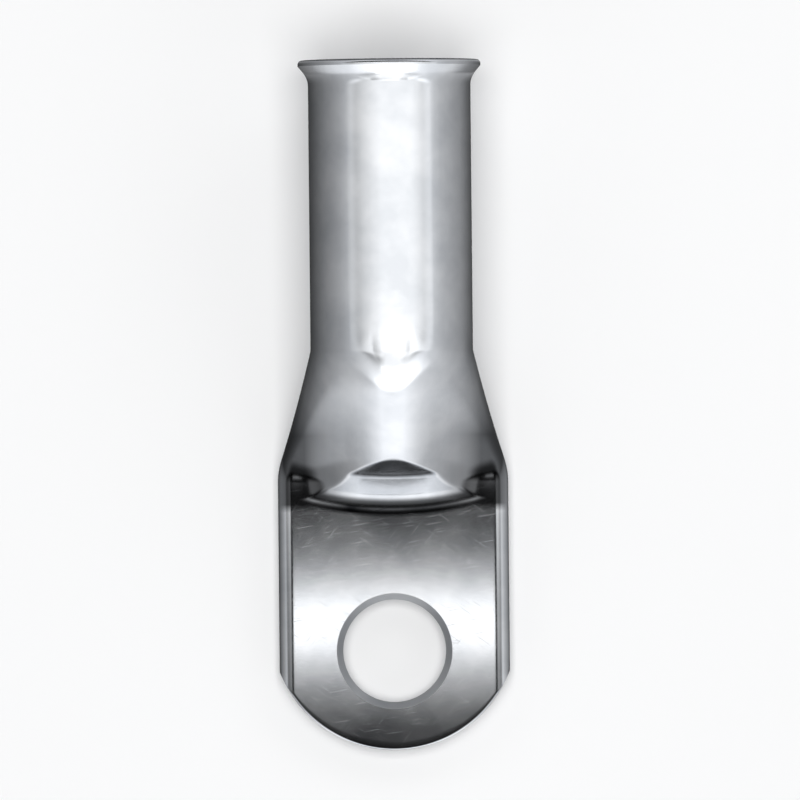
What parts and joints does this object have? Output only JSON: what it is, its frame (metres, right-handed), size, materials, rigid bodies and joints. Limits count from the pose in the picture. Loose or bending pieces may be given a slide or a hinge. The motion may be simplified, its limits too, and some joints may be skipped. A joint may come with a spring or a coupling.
{
  "type": "copper cable lug",
  "caption": "Tubular cable lug with a flared mouth, a round barrel and a stepped, round-ended palm with a stud hole.",
  "frame": {"origin": "centre of the stud hole on the palm's flat contact face", "axes": "+Z along the stud hole from the contact face to the stepped front face, +Y from the stud hole along the tube to its flared mouth"},
  "size_m": [0.0234, 0.0702, 0.0186],
  "materials": {
    "tinned_copper": "satin"
  },
  "bodies": {
    "root": {"cable_lug": "tinned_copper"}
  },
  "joints": []
}
